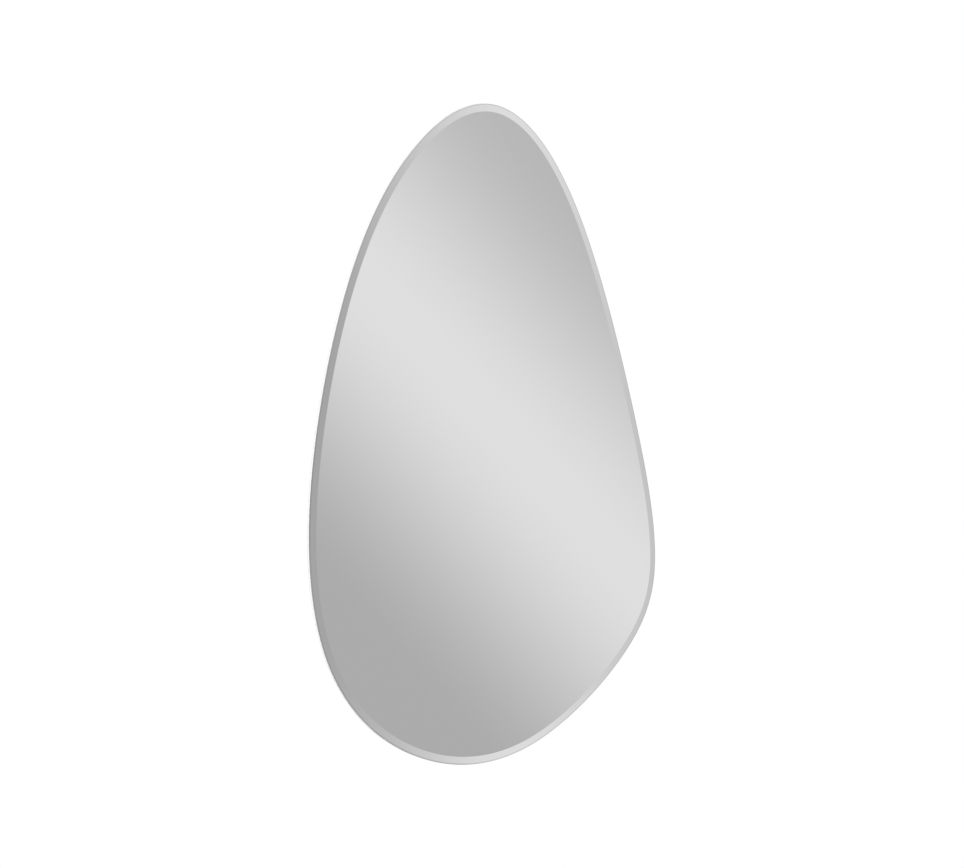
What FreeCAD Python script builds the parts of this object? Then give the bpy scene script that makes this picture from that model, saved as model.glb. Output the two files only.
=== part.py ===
import FreeCAD, Part
import math
import os

# An irregular, frameless wall mirror: a pebble-shaped plate of bevelled glass that floats in
# front of the wall on a smaller board and hangs from two D-rings.
# Millimetres. +Z is up and the mirror faces -Y. Y = 0 is the wall, where the bumpers rest.
# The origin lies on the wall, midway between the pivots of the two rings, and straight above
# the centre of mass of the glass, so that the mirror hangs plumb.

V = FreeCAD.Vector

# Outline of the glass, seen from the front. The points are the control points of a closed
# cubic curve, from the right side over the top, and are stretched to the width and height.
MIRROR_WIDTH = 552.0
MIRROR_HEIGHT = 800.0
OUTLINE_CONTROL_POINTS = [
    (289, -161), (245, 18), (151, 302), (22, 430), (-118, 363), (-227, 195),
    (-291, -97), (-258, -299), (-119, -401), (63, -409), (254, -265),
]
SETBACK_POINTS_PER_CONTROL_POINT = 6
OUTLINE_RUNS = 3

# Mirror plate
GLASS_THICKNESS = 5.0
BEVEL_WIDTH = 9.6
BEVEL_DEPTH = 1.2
ARRIS = 0.5
SILVER_THICKNESS = 0.1
PAINT_THICKNESS = 0.2

# Foam tape between the painted back and the board
TAPE_THICKNESS = 1.0
TAPE_WIDTH = 25.0
TAPE_STRIPS = 5
TAPE_END_MARGIN = 12.0

# Backing board
BOARD_THICKNESS = 12.0
BOARD_SETBACK = 40.0
BOARD_REAR_CHAMFER = 3.0

# Square, tapered rubber bumpers near the rim of the board
BUMPER_HEIGHT = 6.0
BUMPER_WIDTH = 12.7
BUMPER_TAPER = 0.8
BUMPER_CHAMFER = 0.8
BUMPER_EDGE_MARGIN = 6.0
BUMPER_DIRECTIONS = {
    "top_right": 72.0,
    "top_left": 108.0,
    "bottom_left": 240.0,
    "bottom_right": 300.0,
}

# Strap hangers: one strip of sheet steel folded double round the bar of the ring
HANGER_SPACING = 220.0
HANGER_ABOVE_MIDDLE = 200.0
SHEET_THICKNESS = 1.0
STRAP_WIDTH = 16.0
FOLD_GAP = 0.05
FOLD_BEND_RADIUS = 1.0

# D-rings
RING_WIRE_RADIUS = 1.5
RING_CORNER_RADIUS = 3.0
RING_BOW_RADIUS = 6.0
RING_SIDE_LENGTH = 7.0
RING_BUTT_GAP = 0.4
RING_PIVOT_CLEARANCE = 0.1
RING_SIDE_PLAY = 1.0
RING_REST_CLEARANCE = 0.3

# Pan-head wood screws
SCREWS_PER_STRAP = 2
SCREW_BELOW_PIVOT = 25.0
SCREW_PITCH = 18.0
SCREW_LENGTH = 12.0
SCREW_RADIUS = 1.75
SCREW_POINT_LENGTH = 3.0
SCREW_HEAD_RADIUS = 3.5
SCREW_HEAD_HEIGHT = 2.3
SCREW_HEAD_RIM = 0.8
RECESS_LENGTH = 3.8
RECESS_WIDTH = 0.9
RECESS_DEPTH = 1.3
STRAP_HOLE_CLEARANCE = 0.35
PILOT_CLEARANCE = 0.05
PILOT_RESERVE = 0.5

# Planes along Y, from the wall to the face of the mirror
BOARD_BACK = -BUMPER_HEIGHT
BOARD_FRONT = BOARD_BACK - BOARD_THICKNESS
PAINT_BACK = BOARD_FRONT - TAPE_THICKNESS
SILVER_BACK = PAINT_BACK - PAINT_THICKNESS
GLASS_BACK = SILVER_BACK - SILVER_THICKNESS
GLASS_FRONT = GLASS_BACK - GLASS_THICKNESS

# Knuckle and ring, measured off the back of the board
KNUCKLE_BORE_RADIUS = RING_WIRE_RADIUS + RING_PIVOT_CLEARANCE
KNUCKLE_RADIUS = KNUCKLE_BORE_RADIUS + SHEET_THICKNESS
STRAP_THICKNESS = 2 * SHEET_THICKNESS + FOLD_GAP
RING_HALF_WIDTH = STRAP_WIDTH / 2 + RING_SIDE_PLAY + RING_CORNER_RADIUS
RING_DROP = RING_CORNER_RADIUS + RING_SIDE_LENGTH + RING_BOW_RADIUS
STRAP_LENGTH = SCREW_BELOW_PIVOT + SCREW_PITCH * (SCREWS_PER_STRAP - 1) + STRAP_WIDTH / 2
SCREW_SEAT = BOARD_BACK + STRAP_THICKNESS


def closed_curve(points):
    """The closed cubic curve with these control points (x, z), in the plane y = 0."""
    count = len(points)
    poles = [V(x, 0, z) for x, z in points]
    curve = Part.BSplineCurve()
    curve.buildFromPolesMultsKnots(poles, [1] * (count + 1), list(range(count + 1)), True, 3)
    return curve.toShape()


def glass_outline():
    """The edge of the glass in the plane y = 0, in its place round the origin."""
    drawn = closed_curve(OUTLINE_CONTROL_POINTS).optimalBoundingBox(False, False)
    stretch_x = MIRROR_WIDTH / drawn.XLength
    stretch_z = MIRROR_HEIGHT / drawn.ZLength
    middle = drawn.Center
    points = [
        ((x - middle.x) * stretch_x, (z - middle.z) * stretch_z)
        for x, z in OUTLINE_CONTROL_POINTS
    ]
    edge = closed_curve(points)
    balance = Part.Face(Part.Wire([edge])).CenterOfMass.x
    edge.translate(V(-balance, 0, -HANGER_ABOVE_MIDDLE))
    return edge


OUTLINE = glass_outline()


def outline_wire(setback, y):
    """The outline in the plane y, at an even distance inside the edge of the glass, as a
    smooth curve in a few equal runs."""
    count = SETBACK_POINTS_PER_CONTROL_POINT * len(OUTLINE_CONTROL_POINTS)
    step = (OUTLINE.LastParameter - OUTLINE.FirstParameter) / count
    points = []
    for number in range(count):
        place = OUTLINE.FirstParameter + step * number
        inward = V(0, -1, 0).cross(OUTLINE.tangentAt(place))
        points.append(OUTLINE.valueAt(place) + inward * setback + V(0, y, 0))
    curve = Part.BSplineCurve()
    curve.interpolate(Points=points, PeriodicFlag=True)
    knots = curve.getKnots()
    ends = [knots[count * number // OUTLINE_RUNS] for number in range(OUTLINE_RUNS + 1)]
    return Part.Wire([curve.toShape(start, end) for start, end in zip(ends, ends[1:])])


def plate(*sections):
    """A plate with straight flanks between outlines, each given by its setback and plane."""
    return Part.makeLoft([outline_wire(setback, y) for setback, y in sections], True, True)


def mirror_glass():
    """Float glass with a wide, shallow bevel in front and a narrow arris on both edges."""
    return plate(
        (BEVEL_WIDTH, GLASS_FRONT),
        (ARRIS, GLASS_FRONT + BEVEL_DEPTH * (1 - ARRIS / BEVEL_WIDTH)),
        (0, GLASS_FRONT + BEVEL_DEPTH + ARRIS),
        (0, GLASS_BACK - ARRIS),
        (ARRIS, GLASS_BACK),
    )


def silver_layer():
    """The reflecting coat, which stops where the arris was ground."""
    return plate((ARRIS, GLASS_BACK), (ARRIS, SILVER_BACK))


def backing_paint():
    """The paint that seals the silver."""
    return plate((ARRIS, SILVER_BACK), (ARRIS, PAINT_BACK))


def reach(face, start, end):
    """The bounding box of the part of a straight line that lies within a face."""
    return Part.makeLine(start, end).common(face).BoundBox


def mounting_tapes():
    """Upright strips with square ends, evenly spaced across the board and as long as fits."""
    face = Part.Face(outline_wire(BOARD_SETBACK + TAPE_END_MARGIN, BOARD_FRONT))
    bounds = face.optimalBoundingBox(False, False)
    spacing = bounds.XLength / TAPE_STRIPS
    strips = []
    for number in range(TAPE_STRIPS):
        left = bounds.XMin + spacing * (number + 0.5) - TAPE_WIDTH / 2
        sides = [
            reach(face, V(x, BOARD_FRONT, bounds.ZMin), V(x, BOARD_FRONT, bounds.ZMax))
            for x in (left, left + TAPE_WIDTH)
        ]
        bottom = max(side.ZMin for side in sides)
        top = min(side.ZMax for side in sides)
        corner = V(left, PAINT_BACK, bottom)
        strips.append(Part.makeBox(TAPE_WIDTH, TAPE_THICKNESS, top - bottom, corner))
    return strips


def screw_places(side):
    """Where the screws of a strap stand: x and z of each, from the knuckle down."""
    x = side * HANGER_SPACING / 2
    return [
        (x, -SCREW_BELOW_PIVOT - SCREW_PITCH * number) for number in range(SCREWS_PER_STRAP)
    ]


def rod(radius, x, z, y, length):
    """A round rod that runs from the plane y towards the wall."""
    return Part.makeCylinder(radius, length, V(x, y, z), V(0, 1, 0))


def backing_board():
    """Painted board with a chamfered rear rim and blind pilot holes for the hanger screws."""
    board = plate(
        (BOARD_SETBACK, BOARD_FRONT),
        (BOARD_SETBACK, BOARD_BACK - BOARD_REAR_CHAMFER),
        (BOARD_SETBACK + BOARD_REAR_CHAMFER, BOARD_BACK),
    )
    depth = SCREW_LENGTH - STRAP_THICKNESS + PILOT_RESERVE
    for side in (-1, 1):
        for x, z in screw_places(side):
            pilot = rod(SCREW_RADIUS + PILOT_CLEARANCE, x, z, BOARD_BACK - depth, depth)
            board = board.cut(pilot)
    return board


def frustum(centre, width, y, top_width, top_y):
    """A square block that tapers evenly from one plane to another."""
    half = width / 2
    top_half = top_width / 2
    block = Part.makeWedge(
        -half, y, -half, -top_half, -top_half, half, top_y, half, top_half, top_half
    )
    block.translate(V(centre.x, 0, centre.z))
    return block


def wall_bumper(direction):
    """A tapered bumper near the rim of the board, in a direction from the board's middle."""
    half_diagonal = BUMPER_WIDTH * math.sqrt(0.5)
    setback = BOARD_SETBACK + BUMPER_EDGE_MARGIN + half_diagonal
    face = Part.Face(outline_wire(setback, BOARD_BACK))
    middle = face.CenterOfMass
    angle = math.radians(direction)
    along = V(math.cos(angle), 0, math.sin(angle))
    ray = reach(face, middle, middle + along * (MIRROR_WIDTH + MIRROR_HEIGHT))
    place = middle + along * ray.DiagonalLength
    shoulder = BUMPER_WIDTH - 2 * BUMPER_TAPER
    foot = shoulder - 2 * BUMPER_CHAMFER
    body = frustum(place, BUMPER_WIDTH, BOARD_BACK, shoulder, -BUMPER_CHAMFER)
    return body.fuse(frustum(place, shoulder, -BUMPER_CHAMFER, foot, 0))


def on_circle(centre, radius, angle):
    """The point (z, height) at an angle in degrees on a circle in the side view."""
    turn = math.radians(angle)
    return (centre[0] + radius * math.cos(turn), centre[1] + radius * math.sin(turn))


def side_view(point):
    """A point (z, height off the board) as a place in space."""
    return V(0, BOARD_BACK + point[1], point[0])


def line(start, end):
    return Part.makeLine(side_view(start), side_view(end))


def arc(centre, radius, start, end):
    """An arc of the side view from one angle to another, in degrees."""
    points = [on_circle(centre, radius, angle) for angle in (start, (start + end) / 2, end)]
    return Part.Arc(*[side_view(point) for point in points]).toShape()


def hanger_strap(side):
    """A folded strap: it lies on the board, rolls round the bar of the ring into a knuckle
    and comes back along itself, through a reverse bend, as the outer layer."""
    knuckle = (0.0, KNUCKLE_RADIUS)
    reach_out = KNUCKLE_RADIUS + FOLD_BEND_RADIUS
    bend_height = STRAP_THICKNESS + FOLD_BEND_RADIUS
    bend_back = math.sqrt(reach_out ** 2 - (bend_height - KNUCKLE_RADIUS) ** 2)
    bend = (-bend_back, bend_height)
    meeting = math.degrees(math.atan2(bend_height - KNUCKLE_RADIUS, -bend_back))
    outer_bend_radius = FOLD_BEND_RADIUS + SHEET_THICKNESS
    end = -STRAP_LENGTH
    gap_top = SHEET_THICKNESS + FOLD_GAP
    profile = [
        line((end, 0), (0, 0)),
        arc(knuckle, KNUCKLE_RADIUS, -90, meeting),
        arc(bend, FOLD_BEND_RADIUS, meeting - 180, -90),
        line((bend[0], STRAP_THICKNESS), (end, STRAP_THICKNESS)),
        line((end, STRAP_THICKNESS), (end, gap_top)),
        line((end, gap_top), (bend[0], gap_top)),
        arc(bend, outer_bend_radius, -90, meeting - 180),
        arc(knuckle, KNUCKLE_BORE_RADIUS, meeting, -90),
        line((0, SHEET_THICKNESS), (end, SHEET_THICKNESS)),
        line((end, SHEET_THICKNESS), (end, 0)),
    ]
    strap = Part.Face(Part.Wire(profile)).extrude(V(STRAP_WIDTH, 0, 0))
    strap.translate(V(side * HANGER_SPACING / 2 - STRAP_WIDTH / 2, 0, 0))
    x, last = screw_places(side)[-1]
    height = 2 * KNUCKLE_RADIUS
    round_end = rod(STRAP_WIDTH / 2, x, last, BOARD_BACK, height)
    body = Part.makeBox(
        STRAP_WIDTH, height, KNUCKLE_RADIUS - last, V(x - STRAP_WIDTH / 2, BOARD_BACK, last)
    )
    strap = strap.common(body.fuse(round_end).removeSplitter())
    for x, z in screw_places(side):
        hole = rod(SCREW_RADIUS + STRAP_HOLE_CLEARANCE, x, z, BOARD_BACK, height)
        strap = strap.cut(hole)
    return strap


def ring_lean():
    """How far the hanging ring leans off the board, in degrees: its bow lies just clear of
    the strap."""
    height = STRAP_THICKNESS + RING_REST_CLEARANCE + RING_WIRE_RADIUS - KNUCKLE_RADIUS
    return math.degrees(math.asin(height / RING_DROP))


def bent_path(points, radii):
    """A line through points that is bent to a radius at each of the points between."""
    edges = []
    start = points[0]
    for before, corner, after, radius in zip(points, points[1:], points[2:], radii):
        back = (before - corner).normalize()
        on = (after - corner).normalize()
        half = back.getAngle(on) / 2
        centre = corner + (back + on).normalize() * (radius / math.sin(half))
        first = corner + back * (radius / math.tan(half))
        last = corner + on * (radius / math.tan(half))
        middle = centre + (corner - centre).normalize() * radius
        edges.append(Part.makeLine(start, first))
        edges.append(Part.Arc(first, middle, last).toShape())
        start = last
    edges.append(Part.makeLine(start, points[-1]))
    return Part.Wire(edges)


def hanger_ring(side):
    """A D-ring of round wire: a straight bar in the knuckle, two tight corners and a wider
    bow. The ends of the wire butt together inside the knuckle."""
    half_gap = RING_BUTT_GAP / 2
    path = bent_path(
        [
            V(half_gap, 0, 0),
            V(RING_HALF_WIDTH, 0, 0),
            V(RING_HALF_WIDTH, 0, -RING_DROP),
            V(-RING_HALF_WIDTH, 0, -RING_DROP),
            V(-RING_HALF_WIDTH, 0, 0),
            V(-half_gap, 0, 0),
        ],
        [RING_CORNER_RADIUS, RING_BOW_RADIUS, RING_BOW_RADIUS, RING_CORNER_RADIUS],
    )
    section = Part.Wire([Part.makeCircle(RING_WIRE_RADIUS, V(half_gap, 0, 0), V(1, 0, 0))])
    ring = path.makePipeShell([section], True, False)
    ring.rotate(V(0, 0, 0), V(1, 0, 0), ring_lean())
    ring.translate(V(side * HANGER_SPACING / 2, BOARD_BACK + KNUCKLE_RADIUS, 0))
    return ring


def screw():
    """A pan-head wood screw along Y, with a crossed recess in its head towards the wall and
    its seat at y = 0."""
    slope = SCREW_HEAD_HEIGHT - SCREW_HEAD_RIM
    dome = (SCREW_HEAD_RADIUS ** 2 + slope ** 2) / (2 * slope)
    half = math.asin(SCREW_HEAD_RADIUS / dome) / 2
    crown = V(dome * math.sin(half), SCREW_HEAD_HEIGHT - dome * (1 - math.cos(half)), 0)
    points = [
        V(0, SCREW_HEAD_HEIGHT, 0),
        V(0, -SCREW_LENGTH, 0),
        V(SCREW_RADIUS, SCREW_POINT_LENGTH - SCREW_LENGTH, 0),
        V(SCREW_RADIUS, 0, 0),
        V(SCREW_HEAD_RADIUS, 0, 0),
        V(SCREW_HEAD_RADIUS, SCREW_HEAD_RIM, 0),
    ]
    edges = [Part.makeLine(start, end) for start, end in zip(points, points[1:])]
    edges.append(Part.Arc(points[-1], crown, points[0]).toShape())
    body = Part.Face(Part.Wire(edges)).revolve(V(0, 0, 0), V(0, 1, 0), 360)
    floor = SCREW_HEAD_HEIGHT - RECESS_DEPTH
    for length, width in ((RECESS_LENGTH, RECESS_WIDTH), (RECESS_WIDTH, RECESS_LENGTH)):
        slot = Part.makeBox(length, RECESS_DEPTH, width, V(-length / 2, floor, -width / 2))
        body = body.cut(slot)
    return body


def hanger_screws():
    """All the screws, each seated on the outer layer of its strap."""
    screws = []
    for x, z in screw_places(-1) + screw_places(1):
        fitted = screw()
        fitted.translate(V(x, SCREW_SEAT, z))
        screws.append(fitted)
    return Part.makeCompound(screws)


def build():
    """Every node of the mirror by name."""
    nodes = {
        "mirror_glass": mirror_glass(),
        "silver_layer": silver_layer(),
        "backing_paint": backing_paint(),
        "backing_board": backing_board(),
        "hanger_screws": hanger_screws(),
    }
    for number, strip in enumerate(mounting_tapes(), 1):
        nodes["mounting_tape_%d" % number] = strip
    for name, direction in BUMPER_DIRECTIONS.items():
        nodes["wall_bumper_%s" % name] = wall_bumper(direction)
    for name, side in (("left", -1), ("right", 1)):
        nodes["hanger_strap_%s" % name] = hanger_strap(side)
        nodes["hanger_ring_%s" % name] = hanger_ring(side)
    return nodes


os.makedirs("parts", exist_ok=True)
for node, shape in build().items():
    shape.exportStep("parts/%s.step" % node)
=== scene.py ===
import math

import bmesh
import bpy
from mathutils import Matrix, Vector


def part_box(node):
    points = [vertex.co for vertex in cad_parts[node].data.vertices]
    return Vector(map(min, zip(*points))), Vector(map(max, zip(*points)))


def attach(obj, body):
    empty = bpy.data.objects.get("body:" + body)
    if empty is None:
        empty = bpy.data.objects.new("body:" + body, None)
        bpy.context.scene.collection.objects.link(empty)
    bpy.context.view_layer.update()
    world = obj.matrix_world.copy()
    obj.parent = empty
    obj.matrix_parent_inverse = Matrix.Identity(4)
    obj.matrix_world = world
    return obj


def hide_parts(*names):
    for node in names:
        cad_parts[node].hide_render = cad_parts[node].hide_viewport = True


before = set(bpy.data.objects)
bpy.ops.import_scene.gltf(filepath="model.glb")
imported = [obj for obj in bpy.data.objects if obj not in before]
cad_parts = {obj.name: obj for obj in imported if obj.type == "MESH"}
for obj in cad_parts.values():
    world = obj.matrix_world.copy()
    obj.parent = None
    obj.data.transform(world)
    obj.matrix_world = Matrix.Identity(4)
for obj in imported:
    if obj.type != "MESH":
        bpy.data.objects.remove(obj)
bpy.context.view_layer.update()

# An irregular, frameless wall mirror with a bevelled rim, hung in a white studio.
# Metres, where nothing else is said. +Z is up, the mirror faces -Y, and the wall behind it
# would be the plane Y = 0.

MM = 0.001

# Outline of the glass, seen from the front: control points of a closed cubic curve, from the
# right side over the top. They are stretched to the size of the glass in the frame.
OUTLINE_CONTROL_POINTS = [
    (289, -161), (245, 18), (151, 302), (22, 430), (-118, 363), (-227, 195),
    (-291, -97), (-258, -299), (-119, -401), (63, -409), (254, -265),
]
STEPS_PER_SPAN = 60

# Glass and board, in millimetres, as the solids have them
BEVEL_WIDTH = 9.6
BEVEL_DEPTH = 1.2
ARRIS = 0.5
BOARD_SETBACK = 40.0
BOARD_REAR_CHAMFER = 3.0

# Screws, in millimetres, as the solids have them: two to a strap, one above the other
SCREW_FROM_MIDDLE = 110.0
TOP_SCREW_HEIGHT = -25.0
SCREW_PITCH = 18.0
# The painted shade in a screw's recess fades out between these radii, and between these places in
# Y
RECESS_SHADE_RADII = (2.0, 2.2)
RECESS_SHADE_DEPTHS = (-2.75, -2.2)

# Width of the darker line round the bevel, a line of painted shade, in millimetres from the edge
# of the glass
PAINTED_SHADE_LINE_WIDTH = 1.7

# Small forms that only this model has, in millimetres
BOARD_ROUNDING = 0.5
STRAP_EDGE_BREAK = 0.12
STRAP_WELD = 0.002
BUMPER_CORNER = 1.5
BUMPER_TAPER = 0.8
BUMPER_ROUNDING = 0.9
BUMPER_STEPS = 6
BUMPER_CORNER_STEPS = 5

# Edges sharper than this keep a hard line
PLATE_SHARP_ANGLE = math.radians(4)
BUMPER_SHARP_ANGLE = math.radians(35)
STRAP_SHARP_ANGLE = math.radians(50)

# Share of the light that comes back from the mirror, and from the line round its bevel, which is
# lower there to paint a line of shade
MIRROR_TONE = 0.92
PAINTED_SHADE_LINE_TONE = 0.77


class Value:
    """One output of a shader node, on which sums can be written."""

    def __init__(self, finish, socket):
        self.finish = finish
        self.socket = socket

    def math(self, operation, *others):
        return self.finish.math(operation, self, *others)

    def __add__(self, other):
        return self.math("ADD", other)

    def __radd__(self, other):
        return self.math("ADD", other)

    def __sub__(self, other):
        return self.math("SUBTRACT", other)

    def __rsub__(self, other):
        return self.finish.math("SUBTRACT", other, self)

    def __mul__(self, other):
        return self.math("MULTIPLY", other)

    def __rmul__(self, other):
        return self.math("MULTIPLY", other)

    def __truediv__(self, other):
        return self.math("DIVIDE", other)

    def __rtruediv__(self, other):
        return self.finish.math("DIVIDE", other, self)

    def __abs__(self):
        return self.math("ABSOLUTE")

    def ramp(self, low, high):
        """0 below low and 1 above high, with a soft step between them."""
        return self.finish.node(
            "ShaderNodeMapRange",
            {"interpolation_type": "SMOOTHSTEP"},
            {"Value": self, "From Min": low, "From Max": high},
            "Result",
        )


class Finish:
    """A material, or the world, built up from nodes."""

    def __init__(self, name, owner=None):
        self.owner = owner or bpy.data.materials.new(name)
        self.owner.use_nodes = True
        self.tree = self.owner.node_tree
        self.tree.nodes.clear()

    def node(self, kind, settings=None, inputs=None, output=0):
        """A node of a type, with its settings and its sockets' values or links. Gives back
        one of its outputs, or None if it has none."""
        made = self.tree.nodes.new(kind)
        for name, value in (settings or {}).items():
            setattr(made, name, value)
        for name, value in (inputs or {}).items():
            if isinstance(value, Value):
                self.tree.links.new(value.socket, made.inputs[name])
            else:
                made.inputs[name].default_value = value
        return Value(self, made.outputs[output]) if made.outputs else None

    def math(self, operation, *terms):
        """A sum on values and numbers, of which one at least is a value."""
        return self.node("ShaderNodeMath", {"operation": operation}, dict(enumerate(terms)))

    def place(self):
        """The point that is shaded, in metres along its object's own axes, which for a piece
        of the mirror are those of the frame."""
        return self.node("ShaderNodeTexCoord", output="Object")

    def parts(self, vector):
        """A vector's three numbers."""
        made = self.node("ShaderNodeSeparateXYZ", inputs={"Vector": vector}).socket.node
        return [Value(self, made.outputs[axis]) for axis in "XYZ"]

    def stretched(self, vector, scale):
        """A vector multiplied along each axis by that axis's number."""
        return self.node(
            "ShaderNodeVectorMath", {"operation": "MULTIPLY"}, {0: vector, 1: scale}
        )

    def noise(self, vector, scale, detail=2.0, roughness=0.5):
        """Soft clouds from 0 to 1, the finer the larger the scale."""
        return self.node(
            "ShaderNodeTexNoise",
            inputs={"Vector": vector, "Scale": scale, "Detail": detail, "Roughness": roughness},
            output="Fac",
        )

    def streaks(self, vector, scales, detail=3.0, roughness=0.5):
        """Noise with a scale of its own along each axis."""
        return self.noise(self.stretched(vector, scales), 1.0, detail, roughness)

    def cells(self, vector, scale):
        """Distance from the nearest of many scattered points."""
        return self.node(
            "ShaderNodeTexVoronoi",
            {"feature": "F1"},
            {"Vector": vector, "Scale": scale},
            output="Distance",
        )

    def blend(self, share, first, second):
        """From one colour to another as share goes from 0 to 1."""
        return self.node(
            "ShaderNodeMix", {"data_type": "RGBA"}, {0: share, 6: rgba(first), 7: rgba(second)}, 2
        )

    def bump(self, height, depth):
        """A normal that follows a height from 0 to 1, which stands for depth in metres."""
        return self.node(
            "ShaderNodeBump", inputs={"Strength": 1.0, "Distance": depth, "Height": height}
        )

    def mixed(self, share, first, second):
        """From one shader to another as share goes from 0 to 1."""
        return self.node("ShaderNodeMixShader", inputs={0: share, 1: first, 2: second})

    def shader(self, **inputs):
        """Blender's general surface, with its sockets by name in lower case."""
        names = {
            key.replace("_", " ").title().replace("Ior", "IOR"): value
            for key, value in inputs.items()
        }
        return self.node("ShaderNodeBsdfPrincipled", inputs=names)

    def surface(self, shader, target="ShaderNodeOutputMaterial"):
        """Ends the nodes in a shader, and gives back the material or world."""
        self.node(target, inputs={"Surface": shader})
        return self.owner

    def principled(self, **inputs):
        return self.surface(self.shader(**inputs))


def rgba(colour):
    """A colour as a socket takes it: a value, or three numbers with an opacity of 1."""
    return colour if isinstance(colour, Value) else (*colour, 1.0)


def grey(tone):
    return (tone, tone, tone, 1.0)


# Finishes -------------------------------------------------------------------------------------


def silvered_glass():
    """The mirror seen through clear glass: nearly all light comes back, with a faint polish."""
    finish = Finish("silvered_glass")
    haze = finish.noise(finish.place(), scale=9.0, detail=3.0)
    return finish.principled(
        base_color=grey(MIRROR_TONE),
        metallic=1.0,
        roughness=haze * 0.008 + 0.012,
    )


def polished_bevel(name, tone):
    """The ground and polished rim, a shade less even than the float glass. Given a lower tone, it
    makes the darker line next to the edge, which is painted shade."""
    finish = Finish(name)
    polish = finish.noise(finish.place(), scale=160.0)
    return finish.principled(
        base_color=grey(tone),
        metallic=1.0,
        roughness=polish * 0.02 + 0.02,
    )


def ground_arris():
    """The narrow seam on the front edge, left a little duller by the wheel."""
    finish = Finish("ground_arris")
    wheel = finish.noise(finish.place(), scale=500.0, detail=3.0)
    return finish.principled(
        base_color=finish.blend(wheel, (0.80, 0.82, 0.81), (0.88, 0.90, 0.89)),
        metallic=1.0,
        roughness=wheel * 0.10 + 0.08,
    )


def glass_edge(name, deep, pale):
    """The flat-polished side or the rear seam: glass with more or less green in it, in faint
    lines that run along the edge. A near-white tone is partly painted light."""
    finish = Finish(name)
    layers = finish.streaks(finish.place(), (6.0, 900.0, 6.0))
    return finish.principled(
        base_color=finish.blend(layers, deep, pale),
        roughness=layers * 0.06 + 0.06,
        specular_ior_level=0.5,
        coat_weight=0.3,
    )


def silver_coat():
    """The edge of the silver, slightly tarnished."""
    finish = Finish("silver_coat")
    tarnish = finish.noise(finish.place(), scale=120.0, detail=4.0).ramp(0.45, 0.75)
    return finish.principled(
        base_color=finish.blend(tarnish, (0.90, 0.90, 0.89), (0.55, 0.52, 0.47)),
        metallic=1.0,
        roughness=tarnish * 0.25 + 0.15,
    )


def mirror_back_paint():
    """Curtain-coated grey paint: an even film with fine orange peel and a few pale specks."""
    finish = Finish("mirror_back_paint")
    place = finish.place()
    cloud = finish.noise(place, scale=7.0, detail=4.0)
    peel = finish.noise(place, scale=700.0)
    specks = 1.0 - finish.cells(place, scale=220.0).ramp(0.06, 0.12)
    film = finish.blend(cloud, (0.29, 0.31, 0.33), (0.36, 0.38, 0.40))
    return finish.principled(
        base_color=finish.blend(specks * 0.35, film, (0.55, 0.56, 0.57)),
        roughness=peel * 0.15 + 0.42,
        normal=finish.bump(peel, 0.03 * MM),
    )


def painted_board():
    """Fibreboard under matt black paint: a fine fleck on the faces, raised fibres and a greyer
    film on the cut edges, and a little dust."""
    finish = Finish("painted_board")
    place = finish.place()
    facing = finish.node("ShaderNodeTexCoord", output="Normal")
    cut_edge = 1.0 - abs(finish.parts(facing)[1]).ramp(0.75, 0.97)
    fleck = finish.noise(place, scale=900.0, detail=3.0, roughness=0.6)
    fibres = finish.streaks(place, (350.0, 2600.0, 350.0), detail=4.0, roughness=0.65)
    roller = finish.streaks(place, (60.0, 60.0, 11.0))
    dust = finish.noise(place, scale=60.0, detail=6.0, roughness=0.7).ramp(0.50, 0.85)
    face_paint = finish.blend(roller, (0.040, 0.040, 0.041), (0.060, 0.060, 0.061))
    edge_paint = finish.blend(fibres, (0.046, 0.044, 0.042), (0.088, 0.083, 0.077))
    paint = finish.blend(cut_edge, face_paint, edge_paint)
    grain = fleck * (1.0 - cut_edge) + fibres * cut_edge
    return finish.principled(
        base_color=finish.blend(dust * 0.08, paint, (0.20, 0.19, 0.18)),
        roughness=grain * 0.20 + cut_edge * 0.12 + 0.42,
        normal=finish.bump(grain, 0.12 * MM),
    )


def zinc(name, grain, colour, worn):
    """Bright zinc plate: rolling lines along one axis, cloudy passivation and small scuffs."""
    finish = Finish(name)
    place = finish.place()
    lines = finish.streaks(place, grain, roughness=0.6)
    cloud = finish.noise(place, scale=130.0, detail=4.0, roughness=0.6)
    scuffs = finish.streaks(place, (900.0, 900.0, 160.0), detail=5.0, roughness=0.7)
    clouded = tuple(part * 0.80 for part in colour)
    plating = finish.blend(cloud, clouded, colour)
    return finish.principled(
        base_color=finish.blend(scuffs.ramp(0.58, 0.70) * 0.5, plating, worn),
        metallic=1.0,
        roughness=lines * 0.16 + cloud * 0.12 + 0.16,
        normal=finish.bump(lines, 0.008 * MM),
    )


def zinc_screw():
    """Bright zinc heads, turned in fine rings, with painted shade darkening the crossed recess.
    """
    finish = Finish("zinc_screw")
    place = finish.place()
    x, y, z = finish.parts(place)
    half_pitch = SCREW_PITCH / 2 * MM
    across = abs(x) - SCREW_FROM_MIDDLE * MM
    along = (z - TOP_SCREW_HEIGHT * MM).math("WRAP", half_pitch, -half_pitch)
    radius = (across * across + along * along).math("SQRT")
    deep = 1.0 - y.ramp(*(depth * MM for depth in RECESS_SHADE_DEPTHS))
    recess = deep * (1.0 - radius.ramp(*(reach * MM for reach in RECESS_SHADE_RADII)))
    turned = finish.noise(radius * 9000.0, scale=1.0)
    cloud = finish.noise(place, scale=260.0, detail=4.0, roughness=0.6)
    plating = finish.blend(cloud, (0.52, 0.52, 0.51), (0.70, 0.70, 0.68))
    return finish.principled(
        # Painted shade: the recess is darkened and dulled where the head's own shade would fall.
        base_color=finish.blend(recess * 0.85, plating, (0.05, 0.045, 0.04)),
        metallic=1.0 - recess * 0.7,
        roughness=turned * 0.12 + cloud * 0.12 + 0.18,
        normal=finish.bump(turned, 0.01 * MM),
    )


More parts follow.
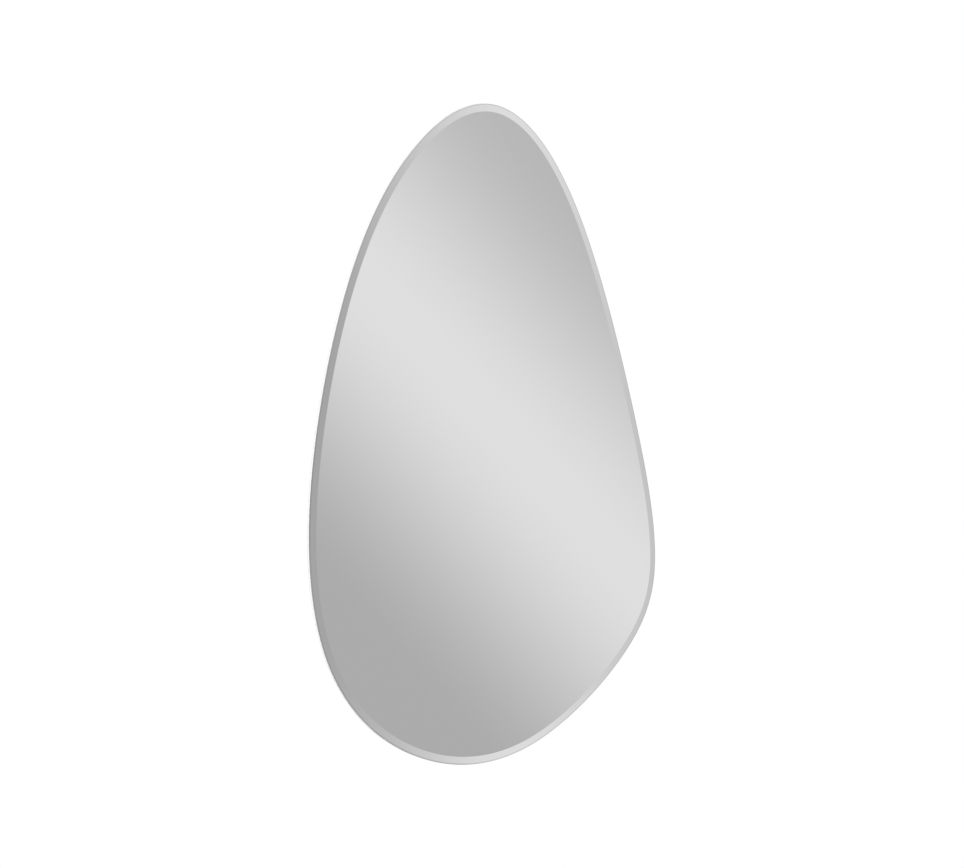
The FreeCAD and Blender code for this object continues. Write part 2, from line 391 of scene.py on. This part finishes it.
def black_rubber():
    """Matt moulded rubber: a fine even skin with a faint grey bloom."""
    finish = Finish("black_rubber")
    place = finish.place()
    skin = finish.noise(place, scale=2200.0)
    bloom = finish.noise(place, scale=420.0, detail=4.0, roughness=0.6).ramp(0.35, 0.85)
    return finish.principled(
        base_color=finish.blend(bloom, (0.018, 0.018, 0.019), (0.032, 0.031, 0.030)),
        roughness=skin * 0.15 + bloom * 0.08 + 0.55,
        normal=finish.bump(skin, 0.05 * MM),
    )


def white_foam():
    """Closed-cell foam tape, its cut sides full of small open bubbles, darker in their middles as
    painted shade.
    """
    finish = Finish("white_foam")
    bubbles = finish.cells(finish.place(), scale=2600.0)
    return finish.principled(
        # Each bubble's middle is darker: painted shade in the open pit.
        base_color=finish.blend(bubbles, (0.58, 0.58, 0.56), (0.82, 0.82, 0.80)),
        roughness=bubbles * 0.2 + 0.65,
        normal=finish.bump(bubbles, 0.12 * MM),
    )


# Meshes ---------------------------------------------------------------------------------------


def outline_points():
    """Points on the edge of the glass as (x, z), with the unit normal that points inwards."""
    count = len(OUTLINE_CONTROL_POINTS)
    places, slopes = [], []
    for number in range(count):
        a, b, c, d = (
            Vector(OUTLINE_CONTROL_POINTS[(number + k) % count]) for k in range(4)
        )
        for step in range(STEPS_PER_SPAN):
            t = step / STEPS_PER_SPAN
            s = 1 - t
            weight_b = 3 * t**3 - 6 * t**2 + 4
            weight_c = 3 * s**3 - 6 * s**2 + 4
            places.append((a * s**3 + b * weight_b + c * weight_c + d * t**3) / 6)
            slopes.append(
                (d - c) * t**2 / 2 + (c - b) * (0.5 + t * s) + (b - a) * s**2 / 2
            )
    low = Vector((min(p.x for p in places), min(p.y for p in places)))
    high = Vector((max(p.x for p in places), max(p.y for p in places)))
    glass_low, glass_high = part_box("mirror_glass")
    stretch_x = (glass_high.x - glass_low.x) / (high.x - low.x)
    stretch_z = (glass_high.z - glass_low.z) / (high.y - low.y)
    points = []
    for place, slope in zip(places, slopes):
        spot = Vector((
            glass_low.x + (place.x - low.x) * stretch_x,
            glass_low.z + (place.y - low.y) * stretch_z,
        ))
        along = Vector((slope.x * stretch_x, slope.y * stretch_z)).normalized()
        points.append((spot, Vector((-along.y, along.x))))
    return points


OUTLINE = outline_points()


def depths(node):
    """Y of a node's front and back, in millimetres."""
    low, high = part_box(node)
    return low.y / MM, high.y / MM


def loft(rings, numbers):
    """A closed body through rings of points, with flat ends. Each ring has the number of the
    material that runs from it to the next one, and the last ring's is the far end's. The near
    end has number 0."""
    made = bmesh.new()
    corners = [[made.verts.new(point) for point in ring] for ring in rings]
    for near, far, number in zip(corners, corners[1:], numbers):
        for k in range(len(near)):
            after = (k + 1) % len(near)
            face = made.faces.new((near[k], near[after], far[after], far[k]))
            face.material_index = number
    made.faces.new(corners[0]).material_index = 0
    made.faces.new(reversed(corners[-1])).material_index = numbers[-1]
    return made


def add_piece(name, body_mesh, materials, node, sharp_angle):
    """Turns a bmesh into a piece that stands for a node and moves with the mirror."""
    bmesh.ops.recalc_face_normals(body_mesh, faces=body_mesh.faces)
    mesh = bpy.data.meshes.new(name)
    body_mesh.to_mesh(mesh)
    body_mesh.free()
    mesh.shade_smooth()
    mesh.set_sharp_from_angle(angle=sharp_angle)
    for material in materials:
        mesh.materials.append(material)
    piece = bpy.data.objects.new(name, mesh)
    bpy.context.scene.collection.objects.link(piece)
    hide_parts(node)
    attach(piece, "mirror")


def plate(name, node, sections, materials):
    """A plate of the mirror's outline. Its flank passes through sections, each a setback and
    a depth in millimetres and the number of the material that runs to the next one."""
    rings = [
        [(p.x + n.x * setback * MM, y * MM, p.y + n.y * setback * MM) for p, n in OUTLINE]
        for setback, y, _ in sections
    ]
    body_mesh = loft(rings, [number for _, _, number in sections])
    add_piece(name, body_mesh, materials, node, PLATE_SHARP_ANGLE)


def coat(name, node, material):
    """A thin coat on the back of the glass, as far as the seam."""
    front, back = depths(node)
    plate(name, node, [(ARRIS, front, 0), (ARRIS, back, 0)], [material])


def rounded_square(half, corner):
    """Points of a square with rounded corners as (x, z), about its middle."""
    middle = Vector((half - corner, half - corner))
    points = []
    for quarter in range(4):
        turn = Matrix.Rotation(quarter * math.pi / 2, 2)
        for step in range(BUMPER_CORNER_STEPS + 1):
            angle = step / BUMPER_CORNER_STEPS * math.pi / 2
            arm = Vector((math.cos(angle), math.sin(angle))) * corner
            points.append(turn @ (middle + arm))
    return points


def bumper(node, material):
    """A moulded rubber foot: square, tapered and softly rounded towards its flat face."""
    low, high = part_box(node)
    centre = (low + high) / 2
    half = (high.x - low.x) / 2
    height = high.y - low.y
    rounding = BUMPER_ROUNDING * MM
    profile = [(half, 0.0)]
    for step in range(BUMPER_STEPS + 1):
        angle = step / BUMPER_STEPS * math.pi / 2
        inset = BUMPER_TAPER * MM + rounding * (1 - math.cos(angle))
        profile.append((half - inset, height - rounding * (1 - math.sin(angle))))
    rings = [
        [
            (centre.x + p.x, low.y + rise, centre.z + p.y)
            for p in rounded_square(reach, BUMPER_CORNER * MM)
        ]
        for reach, rise in profile
    ]
    add_piece(
        node + "_moulded", loft(rings, [0] * len(rings)), [material], node,
        BUMPER_SHARP_ANGLE,
    )


def finish_node(name, material):
    """Gives a carried-over node its finish."""
    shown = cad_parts[name]
    shown.data.materials.clear()
    shown.data.materials.append(material)
    return shown


def break_edges(sheet_metal):
    """Takes the sharpness off the edges of a strap."""
    weld = sheet_metal.modifiers.new("weld", "WELD")
    weld.merge_threshold = STRAP_WELD * MM
    broken = sheet_metal.modifiers.new("broken_edges", "BEVEL")
    broken.width = STRAP_EDGE_BREAK * MM
    broken.segments = 2
    broken.limit_method = "ANGLE"
    broken.angle_limit = STRAP_SHARP_ANGLE


# The mirror -----------------------------------------------------------------------------------


def bevelled_mirror():
    """The glass, with the silver seen through its face and its bevel."""
    front, back = depths("mirror_glass")
    face, bevel, front_arris, side, painted_shade_band, rear_arris = range(6)

    def bevel_depth(setback):
        """Y of the bevel at a setback, in millimetres."""
        return front + BEVEL_DEPTH * (1 - setback / BEVEL_WIDTH)

    materials = {
        face: silvered_glass(),
        bevel: polished_bevel("polished_bevel", MIRROR_TONE),
        front_arris: ground_arris(),
        # The side's near-white tone is painted light, the bright studio seen in and through the
        # glass; its trace of green is the glass's own.
        side: glass_edge("glass_edge", (0.94, 0.975, 0.965), (0.98, 0.99, 0.985)),
        # The line next to the edge is painted shade: the same polish with a lower tone.
        painted_shade_band: polished_bevel("bevel_painted_shade_line", PAINTED_SHADE_LINE_TONE),
        rear_arris: glass_edge("rear_arris", (0.52, 0.72, 0.66), (0.62, 0.80, 0.75)),
    }
    plate(
        "bevelled_mirror", "mirror_glass",
        [
            (BEVEL_WIDTH, front, bevel),
            (PAINTED_SHADE_LINE_WIDTH, bevel_depth(PAINTED_SHADE_LINE_WIDTH), painted_shade_band),
            (ARRIS, bevel_depth(ARRIS), front_arris),
            (0, front + BEVEL_DEPTH + ARRIS, side),
            (0, back - ARRIS, rear_arris),
            (ARRIS, back, side),
        ],
        list(materials.values()),
    )


def backing_board():
    """The board behind the glass, chamfered towards the wall, with its edges eased."""
    front, back = depths("backing_board")
    chamfer_start = back - BOARD_REAR_CHAMFER
    chamfer_end = BOARD_SETBACK + BOARD_REAR_CHAMFER
    easing = BOARD_ROUNDING / 2
    plate(
        "painted_backing_board", "backing_board",
        [
            (BOARD_SETBACK + BOARD_ROUNDING, front, 0),
            (BOARD_SETBACK, front + BOARD_ROUNDING, 0),
            (BOARD_SETBACK, chamfer_start - easing, 0),
            (BOARD_SETBACK + easing, chamfer_start + easing, 0),
            (chamfer_end - easing, back - easing, 0),
            (chamfer_end + easing, back, 0),
        ],
        [painted_board()],
    )


bevelled_mirror()
coat("silver_film", "silver_layer", silver_coat())
coat("painted_back", "backing_paint", mirror_back_paint())
backing_board()

rubber = black_rubber()
foam = white_foam()
strap_zinc = zinc("zinc_strap", (2600.0, 2600.0, 90.0), (0.74, 0.74, 0.72), (0.42, 0.41, 0.39))
ring_zinc = zinc("zinc_ring", (300.0, 1500.0, 1500.0), (0.76, 0.76, 0.74), (0.45, 0.44, 0.42))
screw_zinc = zinc_screw()
for node in sorted(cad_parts):
    if node.startswith("wall_bumper"):
        bumper(node, rubber)
    elif node.startswith("mounting_tape"):
        finish_node(node, foam)
    elif node.startswith("hanger_strap"):
        break_edges(finish_node(node, strap_zinc))
    elif node.startswith("hanger_ring"):
        finish_node(node, ring_zinc)
    elif node == "hanger_screws":
        finish_node(node, screw_zinc)

# Camera ---------------------------------------------------------------------------------------

# The camera stands to the left of the mirror's front, and a little above its target
VIEW_TURN = math.radians(40.45)
VIEW_RISE = math.radians(0.97)
VIEW_DISTANCE = 5.448
VIEW_TARGET = Vector((-0.00100, -0.02371, -0.20012))
IMAGE_WIDTH = 964
# Pixels that a width equal to its distance from the camera would take up
FOCAL_PIXELS = 4498.0
SENSOR_WIDTH_MM = 36.0

towards_camera = Vector((
    -math.sin(VIEW_TURN) * math.cos(VIEW_RISE),
    -math.cos(VIEW_TURN) * math.cos(VIEW_RISE),
    math.sin(VIEW_RISE),
))
camera_data = bpy.data.cameras.new("camera")
camera_data.sensor_width = SENSOR_WIDTH_MM
camera_data.lens = FOCAL_PIXELS / IMAGE_WIDTH * SENSOR_WIDTH_MM
camera_data.clip_end = 100.0
camera = bpy.data.objects.new("camera", camera_data)
camera.location = VIEW_TARGET + towards_camera * VIEW_DISTANCE
camera.rotation_mode = "QUATERNION"
camera.rotation_quaternion = (-towards_camera).to_track_quat("-Z", "Y")
bpy.context.scene.collection.objects.link(camera)
bpy.context.scene.camera = camera

# Studio ---------------------------------------------------------------------------------------

# Tone of the light from all round
AMBIENT = 0.68
LAMP_STRENGTH = 1.5
LAMP_SPREAD = math.radians(30)
# Where the two lamps stand, as seen from the mirror
KEY_DIRECTION = (-0.7, -0.8, 0.4)
BACK_DIRECTION = (0.7, 0.8, 0.4)
FLOOR_HEIGHT = -2.25
FLOOR_HALF_WIDTH = 4.0
FLOOR_GLOW = 0.15
TENT_RADIUS = 2.0
# What the glass shows of the tent is about an oval, of this half width and half height
SHOWN_HALF_WIDTH = 0.795
SHOWN_HALF_HEIGHT = 0.927


def seen_directly(finish):
    """1 for what the camera, a reflection or a clear material sees, and 0 for lighting."""
    path = finish.node("ShaderNodeLightPath").socket.node
    share = Value(finish, path.outputs["Is Camera Ray"])
    for ray in ("Is Glossy Ray", "Is Transmission Ray"):
        share = share.math("MAXIMUM", Value(finish, path.outputs[ray]))
    return share


def studio_world():
    """White where it is seen, and a little below white as a light."""
    world = bpy.data.worlds.new("studio")
    bpy.context.scene.world = world
    finish = Finish("studio", world)
    light, white = (
        finish.node("ShaderNodeBackground", inputs={"Color": grey(tone)})
        for tone in (AMBIENT, 1.0)
    )
    finish.surface(finish.mixed(seen_directly(finish), light, white), "ShaderNodeOutputWorld")


def stage_object(name, body_mesh, material):
    """Turns a bmesh into part of the studio, which isn't part of the mirror."""
    mesh = bpy.data.meshes.new(name)
    body_mesh.to_mesh(mesh)
    body_mesh.free()
    mesh.shade_smooth()
    mesh.materials.append(material)
    made = bpy.data.objects.new(name, mesh)
    bpy.context.scene.collection.objects.link(made)
    return made


def floor():
    """Pale floor: its lit surface and its own glow add up to white, and a shadow still shows.
    From below it is clear."""
    finish = Finish("pale_floor")
    grain = finish.noise(finish.place(), scale=40.0, detail=3.0)
    pale = finish.shader(
        base_color=finish.blend(grain, (0.84, 0.84, 0.84), (0.86, 0.86, 0.86)),
        roughness=0.7,
        specular_ior_level=0.0,
        emission_color=finish.blend(seen_directly(finish), (0.0, 0.0, 0.0), (1.0, 1.0, 1.0)),
        emission_strength=FLOOR_GLOW,
    )
    clear = finish.node("ShaderNodeBsdfTransparent")
    from_below = finish.node("ShaderNodeNewGeometry", output="Backfacing")
    sheet = bmesh.new()
    bmesh.ops.create_grid(sheet, x_segments=8, y_segments=8, size=FLOOR_HALF_WIDTH)
    material = finish.surface(finish.mixed(from_below, pale, clear))
    stage_object("floor", sheet, material).location.z = FLOOR_HEIGHT


# The tent is a sphere about the mirror that glows with painted light and shade. In its own axes
# u runs to the right and v upwards, as the camera sees them in the mirror, and w straight ahead
# from the mirror to the tent.


def tent_strip(u, v):
    """Straight ahead: a soft strip of light from the upper left to the lower right, grey above
    it and darker below. It is measured across, in metres towards the lower left."""
    across = u * -0.743 + v * -0.669
    upper_end, middle, lower_end = -0.39492, -0.029619, 0.365301
    above = 1.0 - across.ramp(upper_end, middle)
    below = across.ramp(middle, lower_end)
    return 0.802 - below * 0.3594 - above * 0.288


def tent_ring(u, v):
    """Round the strip: bright above and below, grey on the right and darker on the left. It
    is measured round, in degrees from the right over the top."""
    angle = v.math("ARCTAN2", u) * math.degrees(1)
    dark_left = abs(angle - 9.8).ramp(63.6, 158.9)
    grey_right = 1.0 - abs(angle + 14.2).ramp(7.9, 90.5)
    bright_below = 1.0 - abs(angle + 78.5).ramp(0.0, 36.7)
    return bright_below * 0.102 - dark_left * 0.377 - grey_right * 0.184 + 0.78


def tent_room(u, v, w):
    """All the rest, in painted light: a bright top over a grey base, with the painted shade of
    soft folds in the fabric, one darker side and a bright back."""
    rise = v / TENT_RADIUS
    # Painted shade of soft folds, as bands in the glow.
    folds = (u.math("ARCTAN2", w) * 9.0 + rise * 7.0).math("COSINE")
    dark_side = (u / -TENT_RADIUS).ramp(0.55, 1.0)
    bright_back = (w / -TENT_RADIUS).ramp(0.5, 1.0)
    return rise * 0.28 + folds * 0.14 - dark_side * 0.24 + bright_back * 0.25 + 0.62


def light_tent():
    """A tent of painted light and shade, standing for white fabric, that only reflections see."""
    finish = Finish("tent_painted_glow")
    u, v, w = finish.parts(finish.place())
    wide = u / SHOWN_HALF_WIDTH
    high = v / SHOWN_HALF_HEIGHT
    off_axis = (wide * wide + high * high).math("SQRT")
    in_ring = off_axis.ramp(0.62, 0.92)
    ahead = (w / TENT_RADIUS).ramp(0.0, 0.3) * (1.0 - off_axis.ramp(1.12, 1.5))
    panels = tent_ring(u, v) * in_ring + tent_strip(u, v) * (1.0 - in_ring)
    tone = panels * ahead + tent_room(u, v, w) * (1.0 - ahead)
    colour = finish.node("ShaderNodeCombineColor", inputs={0: tone, 1: tone, 2: tone})
    glow = finish.node("ShaderNodeEmission", inputs={"Color": colour})
    fabric = bmesh.new()
    bmesh.ops.create_icosphere(fabric, subdivisions=5, radius=TENT_RADIUS)
    tent = stage_object("light_tent", fabric, finish.surface(glow))
    ahead_axis = Vector((-towards_camera.x, towards_camera.y, -towards_camera.z))
    right_axis = Vector((math.cos(VIEW_TURN), math.sin(VIEW_TURN), 0.0))
    up_axis = ahead_axis.cross(right_axis)
    turned = Matrix((right_axis, up_axis, ahead_axis)).transposed().to_4x4()
    tent.matrix_world = Matrix.Translation(VIEW_TARGET) @ turned
    for ray in ("camera", "diffuse", "transmission", "volume_scatter", "shadow"):
        setattr(tent, "visible_" + ray, False)


def lamp(name, direction):
    """A large soft lamp far off in a direction, that shows in no reflection."""
    data = bpy.data.lights.new(name, "SUN")
    data.energy = LAMP_STRENGTH
    data.angle = LAMP_SPREAD
    made = bpy.data.objects.new(name, data)
    made.rotation_mode = "QUATERNION"
    made.rotation_quaternion = Vector(direction).to_track_quat("Z", "Y")
    made.visible_glossy = False
    bpy.context.scene.collection.objects.link(made)


studio_world()
floor()
light_tent()
lamp("key_lamp", KEY_DIRECTION)
lamp("back_lamp", BACK_DIRECTION)

bpy.context.scene.view_settings.view_transform = "Standard"
